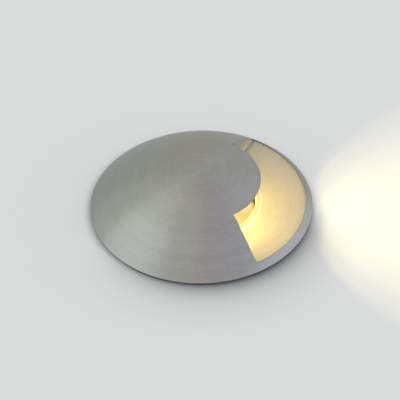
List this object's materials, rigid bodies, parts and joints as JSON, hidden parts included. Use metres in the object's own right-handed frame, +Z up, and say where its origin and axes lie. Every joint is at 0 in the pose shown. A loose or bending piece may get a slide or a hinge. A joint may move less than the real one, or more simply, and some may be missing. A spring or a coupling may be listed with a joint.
{
  "type": "in ground well light",
  "caption": "Buried lamp in a ribbed ground sleeve under a shallow domed metal cover, whose one wide side window throws warm light low across the ground.",
  "frame": {"origin": "on the lamp's upright axis at finished ground level, where the sleeve's top edge and the underside of the rim gasket meet", "axes": "+Z up out of the ground, +X the way the light window faces, at rest"},
  "size_m": [0.11, 0.11, 0.1287],
  "materials": {
    "turned_cover": "turned on a lathe, fine brushed and clear anodised",
    "turned_floor": "turned on a lathe, satin",
    "cast_housing": "die cast, blasted",
    "black_rubber": "matt moulded rubber",
    "clear_glass": "toughened and polished",
    "bright_reflector": "bright anodised with a fine hammered facet",
    "lit_phosphor": "warm white phosphor, lit",
    "board_white": "white solder mask",
    "thermal_sheet": "soft filled sheet",
    "stainless_fixings": "stainless steel",
    "spring_steel": "pressed stainless spring steel",
    "lead_sheath": "silicone covered wire",
    "driver_case": "potted plastic case",
    "terminal_plastic": "moulded nylon",
    "plated_brass": "nickel plated",
    "plug_plastic": "moulded",
    "ring_plastic": "moulded glass filled nylon",
    "sleeve_plastic": "moulded polypropylene"
  },
  "bodies": {
    "sleeve": {"ground_sleeve": "sleeve_plastic", "sleeve_base": "sleeve_plastic", "conduit_plug": "plug_plastic"},
    "aiming_ring": {"aiming_ring": "ring_plastic", "drag_band": "black_rubber"},
    "lamp_head": {"domed_cover": "turned_cover", "cover_screws": "stainless_fixings", "rim_gasket": "black_rubber", "floor_ring": "turned_floor", "upper_lens_seal": "black_rubber", "lens_glass": "clear_glass", "lower_lens_seal": "black_rubber", "reflector_cup": "bright_reflector", "led_emitter": "lit_phosphor", "led_board": "board_white", "board_screws": "stainless_fixings", "thermal_pad": "thermal_sheet", "lamp_housing": "cast_housing", "housing_seal": "black_rubber", "housing_screws": "stainless_fixings", "lead_grommet": "black_rubber", "led_leads": "lead_sheath", "driver_module": "driver_case", "terminal_block": "terminal_plastic", "terminal_screws": "plated_brass", "rear_cap": "cast_housing", "rear_cap_seal": "black_rubber", "rear_cap_screws": "stainless_fixings", "vent_plug": "plug_plastic", "gland_body": "plated_brass", "gland_seal": "black_rubber", "gland_nut": "plated_brass", "arm_pins": "stainless_fixings"},
    "spring_arm_1": {"spring_arm_1": "spring_steel", "grip_pad_1": "black_rubber", "arm_spring_1": "spring_steel"},
    "spring_arm_2": {"spring_arm_2": "spring_steel", "grip_pad_2": "black_rubber", "arm_spring_2": "spring_steel"},
    "spring_arm_3": {"spring_arm_3": "spring_steel", "grip_pad_3": "black_rubber", "arm_spring_3": "spring_steel"}
  },
  "joints": [
    {"name": "aim", "type": "hinge", "parent": "sleeve", "child": "aiming_ring", "pos_m": [0, 0, -0.018], "axis": [0, 0, 1], "range_deg": [-180, 180]},
    {"name": "lift_out", "type": "slide", "parent": "aiming_ring", "child": "lamp_head", "axis": [0, 0, 1], "range_m": [0, 0.08]},
    {"name": "arm_fold_1", "type": "hinge", "parent": "lamp_head", "child": "spring_arm_1", "pos_m": [0.018, 0.03118, -0.012], "axis": [-0.866, 0.5, 0], "range_deg": [0, 9], "stiffness_Nm_per_rad": 0.1, "springref_deg": -28.65},
    {"name": "arm_fold_2", "type": "hinge", "parent": "lamp_head", "child": "spring_arm_2", "pos_m": [-0.036, 0, -0.012], "axis": [0, -1, 0], "range_deg": [0, 9], "stiffness_Nm_per_rad": 0.1, "springref_deg": -28.65},
    {"name": "arm_fold_3", "type": "hinge", "parent": "lamp_head", "child": "spring_arm_3", "pos_m": [0.018, -0.03118, -0.012], "axis": [0.866, 0.5, 0], "range_deg": [0, 9], "stiffness_Nm_per_rad": 0.1, "springref_deg": -28.65}
  ]
}
